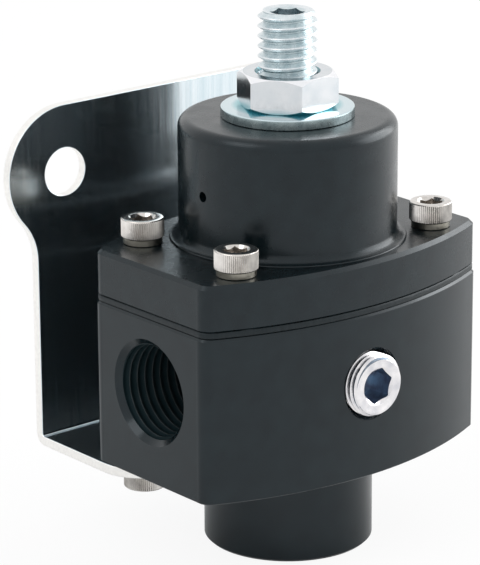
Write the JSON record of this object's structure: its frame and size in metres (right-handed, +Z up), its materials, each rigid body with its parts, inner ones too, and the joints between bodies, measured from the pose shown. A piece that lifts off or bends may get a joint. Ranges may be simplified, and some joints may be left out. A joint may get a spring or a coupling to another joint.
{
  "type": "fuel pressure regulator",
  "caption": "Adjustable dead-head fuel pressure regulator: black body with pipe-thread ports, round spring tower with locked adjusting screw, plugged gauge port and bent zinc mounting bracket.",
  "frame": {"origin": "centre of the inlet port's mouth, on the flat underside of the boss that the part stands on", "axes": "+Z up the adjusting screw's axis, +X out of the right outlet port, +Y out of the back of the mounting bracket"},
  "size_m": [0.0682, 0.0512, 0.0872],
  "materials": {
    "anodised_body": "satin black anodised",
    "anodised_bonnet": "satin black anodised",
    "diaphragm_sheet": "matt rubber-coated fabric",
    "plated_plate": "bright zinc plate",
    "brass_inner": "turned brass",
    "spring_wire": "drawn spring wire",
    "zinc_screw": "bright zinc plate",
    "zinc_nut": "bright zinc plate",
    "zinc_washer": "bright zinc plate",
    "stainless_screw": "bright stainless, knurled heads",
    "zinc_bracket": "bright zinc plate on rolled sheet",
    "zinc_plug": "bright zinc plate",
    "seal_rubber": "moulded nitrile rubber"
  },
  "bodies": {
    "housing": {"valve_body": "anodised_body", "bonnet": "anodised_bonnet", "diaphragm": "diaphragm_sheet", "cover_screws": "stainless_screw", "mounting_bracket": "zinc_bracket", "bracket_screws": "stainless_screw", "gauge_port_plug": "zinc_plug", "valve_seat": "brass_inner", "seat_o_ring": "seal_rubber", "flat_washer": "zinc_washer", "pressure_spring": "spring_wire", "valve_spring": "spring_wire"},
    "button": {"spring_button": "plated_plate"},
    "adjuster": {"adjusting_screw": "zinc_screw"},
    "nut": {"jam_nut": "zinc_nut"},
    "diaphragm_stack": {"diaphragm_top_plate": "plated_plate", "diaphragm_bottom_plate": "plated_plate", "diaphragm_rivet": "brass_inner"},
    "poppet": {"valve_poppet": "brass_inner", "poppet_seal": "seal_rubber"}
  },
  "joints": [
    {"name": "screw_feed", "type": "slide", "parent": "housing", "child": "button", "axis": [0, 0, 1], "range_m": [-0.00476, 0.00159], "deforming": ["pressure_spring"]},
    {"name": "screw_turn", "type": "hinge", "parent": "button", "child": "adjuster", "pos_m": [0, 0, 0.0872], "axis": [0, 0, 1], "range_deg": [-1080, 360]},
    {"name": "nut_turn", "type": "hinge", "parent": "housing", "child": "nut", "pos_m": [0, 0, 0.072], "axis": [0, 0, 1], "range_deg": [0, 150]},
    {"name": "diaphragm_travel", "type": "slide", "parent": "housing", "child": "diaphragm_stack", "axis": [0, 0, 1], "range_m": [0, 0.0015], "stiffness_N_per_m": 4000, "deforming": ["diaphragm", "pressure_spring"]},
    {"name": "poppet_travel", "type": "slide", "parent": "housing", "child": "poppet", "axis": [0, 0, 1], "range_m": [0, 0.0015], "deforming": ["valve_spring"]}
  ],
  "couplings": [
    {"joint": "screw_turn", "follows": "screw_feed", "rad_per_m": 3957.9},
    {"joint": "poppet_travel", "follows": "diaphragm_travel", "ratio": 1}
  ]
}
